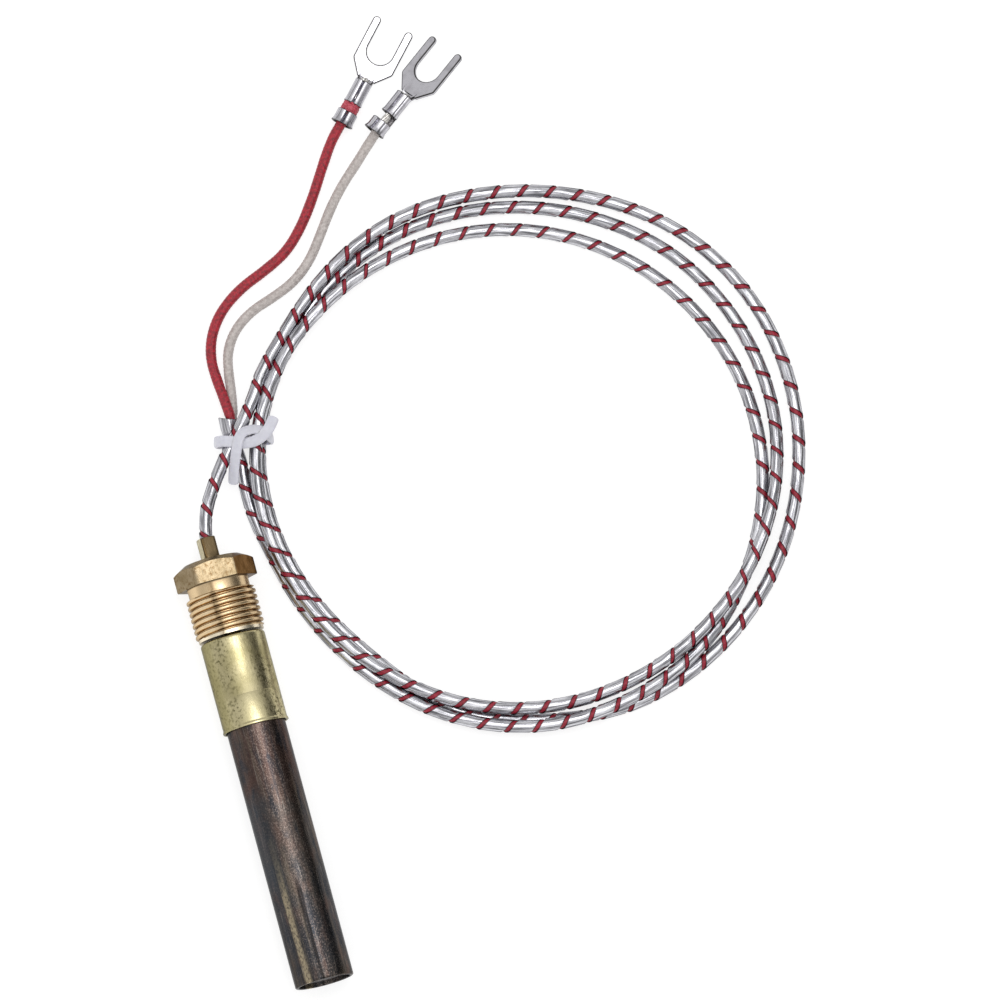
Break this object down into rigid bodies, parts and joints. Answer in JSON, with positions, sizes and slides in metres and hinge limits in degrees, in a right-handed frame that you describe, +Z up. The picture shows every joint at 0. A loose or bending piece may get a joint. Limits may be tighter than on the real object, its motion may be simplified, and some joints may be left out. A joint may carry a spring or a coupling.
{
  "type": "thermopile generator probe",
  "caption": "Gas-pilot thermopile probe: dark steel hot tube, brass sleeve, loose hexagon attaching nut, coiled armoured lead with a red and a white wire ending in fork terminals.",
  "frame": {"origin": "on the surface the probe lies on, under the middle of the probe from its hot tip to the end of its bushing", "axes": "+Y along the probe from the hot tip to the lead end, +Z up, with the nut lying on one flat of its hexagon"},
  "size_m": [0.1087, 0.1554, 0.012],
  "materials": {
    "hot_steel": "heat-stained satin stainless steel",
    "sleeve_brass": "bright drawn brass with handling scuffs",
    "bushing_brass": "dull drawn brass",
    "nut_brass": "machined brass",
    "ceramic": "unglazed ceramic",
    "positive_alloy": "drawn nickel chromium wire",
    "negative_alloy": "drawn copper nickel wire",
    "weld_metal": "welded metal",
    "mica": "mica sheet",
    "joint_brass": "crimped brass",
    "cement": "cast cement",
    "armour": "bright aluminium strip",
    "red_braid": "braided glass sleeving",
    "white_braid": "braided glass sleeving",
    "tinned": "bright tin plate",
    "strand_metal": "tinned strands",
    "strap_plastic": "milky translucent plastic"
  },
  "bodies": {
    "generator": {"sheath_tube": "hot_steel", "sheath_end_disc": "hot_steel", "mounting_sleeve": "sleeve_brass", "stem_bushing": "bushing_brass", "ceramic_core": "ceramic", "positive_elements": "positive_alloy", "negative_elements": "negative_alloy", "hot_junctions": "weld_metal", "cold_junctions": "weld_metal", "mica_wrap": "mica", "hot_end_insulator": "mica", "header_disc": "ceramic", "red_joint_sleeve": "joint_brass", "white_joint_sleeve": "joint_brass", "red_inner_wire": "red_braid", "white_inner_wire": "white_braid", "cement_plug": "cement", "lead_run": "armour", "lead_coil": "armour", "lead_tail": "armour", "red_lead": "red_braid", "white_lead": "white_braid", "red_fork_terminal": "tinned", "white_fork_terminal": "tinned", "red_strands": "strand_metal", "white_strands": "strand_metal", "tie_strap": "strap_plastic"},
    "nut": {"attaching_nut": "nut_brass"}
  },
  "joints": [
    {"name": "nut_spin", "type": "hinge", "parent": "generator", "child": "nut", "pos_m": [0, 0.0275, 0.006], "axis": [0, 1, 0], "continuous": true}
  ]
}
